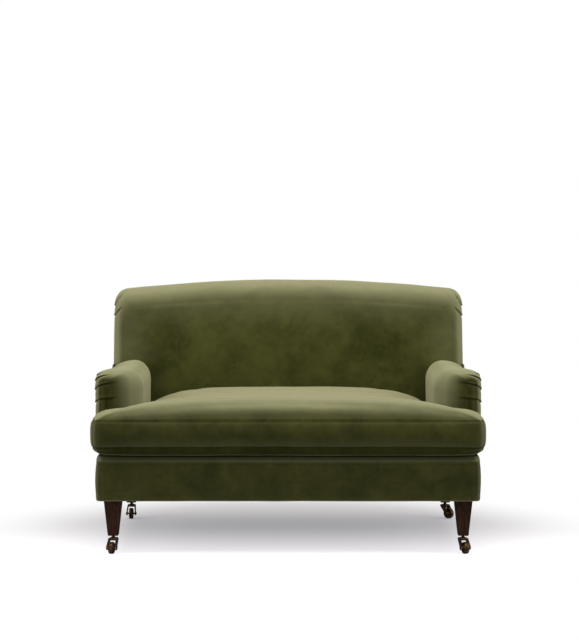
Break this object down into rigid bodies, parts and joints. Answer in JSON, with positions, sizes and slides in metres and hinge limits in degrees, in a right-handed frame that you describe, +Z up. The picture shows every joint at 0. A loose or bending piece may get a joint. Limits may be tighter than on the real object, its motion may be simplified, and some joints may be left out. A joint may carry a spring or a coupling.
{
  "type": "velvet sofa",
  "caption": "Roll-arm love seat in olive velvet: arched tight back, loose bench cushion with wings in front of the arms, tapered walnut legs on swivel casters.",
  "frame": {"origin": "on the floor under the middle of the sofa's bounding box", "axes": "+X to the right along the sofa's width as seen from the front, +Y to its back, +Z up"},
  "size_m": [1.336, 0.9126, 0.9],
  "materials": {
    "velvet": "olive cotton velvet",
    "beech": "sawn and planed",
    "walnut": "dark stain, satin",
    "antique_brass": "antique",
    "spring_steel": "drawn wire",
    "stuffing": "hair and cotton wadding",
    "foam": "foam in a feather wrap",
    "black_cambric": "woven",
    "zip_tape": "woven tape"
  },
  "bodies": {
    "carcass": {"back_cover": "velvet", "left_arm_cover": "velvet", "right_arm_cover": "velvet", "left_outside_arm_panel": "velvet", "right_outside_arm_panel": "velvet", "outside_back_panel": "velvet", "front_border_cover": "velvet", "deck_cover": "velvet", "front_rail": "beech", "back_rail": "beech", "left_side_rail": "beech", "right_side_rail": "beech", "left_back_post": "beech", "right_back_post": "beech", "crest_rail": "beech", "stuffing_rail": "beech", "left_arm_post": "beech", "right_arm_post": "beech", "left_arm_top_rail": "beech", "right_arm_top_rail": "beech", "left_arm_lower_rail": "beech", "right_arm_lower_rail": "beech", "front_left_corner_block": "beech", "front_right_corner_block": "beech", "rear_left_corner_block": "beech", "rear_right_corner_block": "beech", "front_left_leg": "walnut", "front_right_leg": "walnut", "rear_left_leg": "walnut", "rear_right_leg": "walnut", "front_left_caster_stem": "antique_brass", "front_right_caster_stem": "antique_brass", "rear_left_caster_stem": "antique_brass", "rear_right_caster_stem": "antique_brass", "seat_spring_1": "spring_steel", "seat_spring_2": "spring_steel", "seat_spring_3": "spring_steel", "seat_spring_4": "spring_steel", "seat_spring_5": "spring_steel", "back_pad": "stuffing", "left_arm_pad": "stuffing", "right_arm_pad": "stuffing", "seat_pad": "stuffing", "dust_cover": "black_cambric"},
    "front_left_fork": {"front_left_caster_fork": "antique_brass", "front_left_caster_axle": "antique_brass"},
    "front_left_wheel": {"front_left_caster_wheel": "antique_brass"},
    "front_right_fork": {"front_right_caster_fork": "antique_brass", "front_right_caster_axle": "antique_brass"},
    "front_right_wheel": {"front_right_caster_wheel": "antique_brass"},
    "rear_left_fork": {"rear_left_caster_fork": "antique_brass", "rear_left_caster_axle": "antique_brass"},
    "rear_left_wheel": {"rear_left_caster_wheel": "antique_brass"},
    "rear_right_fork": {"rear_right_caster_fork": "antique_brass", "rear_right_caster_axle": "antique_brass"},
    "rear_right_wheel": {"rear_right_caster_wheel": "antique_brass"},
    "cushion": {"cushion_cover": "velvet", "cushion_core": "foam", "cushion_zip": "zip_tape"},
    "zip_slider": {"zip_slider": "antique_brass"}
  },
  "joints": [
    {"name": "front_left_swivel", "type": "hinge", "parent": "carcass", "child": "front_left_fork", "pos_m": [-0.5925, -0.395, 0.052], "axis": [0, 0, 1], "continuous": true},
    {"name": "front_left_roll", "type": "hinge", "parent": "front_left_fork", "child": "front_left_wheel", "pos_m": [-0.59649, -0.41255, 0.02], "axis": [0.9751, -0.2215, 0], "continuous": true},
    {"name": "front_right_swivel", "type": "hinge", "parent": "carcass", "child": "front_right_fork", "pos_m": [0.5925, -0.395, 0.052], "axis": [0, 0, 1], "continuous": true},
    {"name": "front_right_roll", "type": "hinge", "parent": "front_right_fork", "child": "front_right_wheel", "pos_m": [0.59851, -0.41197, 0.02], "axis": [0.9426, 0.3338, 0], "continuous": true},
    {"name": "rear_left_swivel", "type": "hinge", "parent": "carcass", "child": "rear_left_fork", "pos_m": [-0.5925, 0.365, 0.052], "axis": [0, 0, 1], "continuous": true},
    {"name": "rear_left_roll", "type": "hinge", "parent": "rear_left_fork", "child": "rear_left_wheel", "pos_m": [-0.5925, 0.347, 0.02], "axis": [1, 0, 0], "continuous": true},
    {"name": "rear_right_swivel", "type": "hinge", "parent": "carcass", "child": "rear_right_fork", "pos_m": [0.5925, 0.365, 0.052], "axis": [0, 0, 1], "continuous": true},
    {"name": "rear_right_roll", "type": "hinge", "parent": "rear_right_fork", "child": "rear_right_wheel", "pos_m": [0.60549, 0.35254, 0.02], "axis": [0.6921, 0.7218, 0], "continuous": true},
    {"name": "cushion_lift", "type": "slide", "parent": "carcass", "child": "cushion", "axis": [0, 0, 1], "range_m": [0, 0.3]},
    {"name": "zip_slide", "type": "slide", "parent": "cushion", "child": "zip_slider", "axis": [1, 0, 0], "range_m": [0, 0.87]}
  ]
}
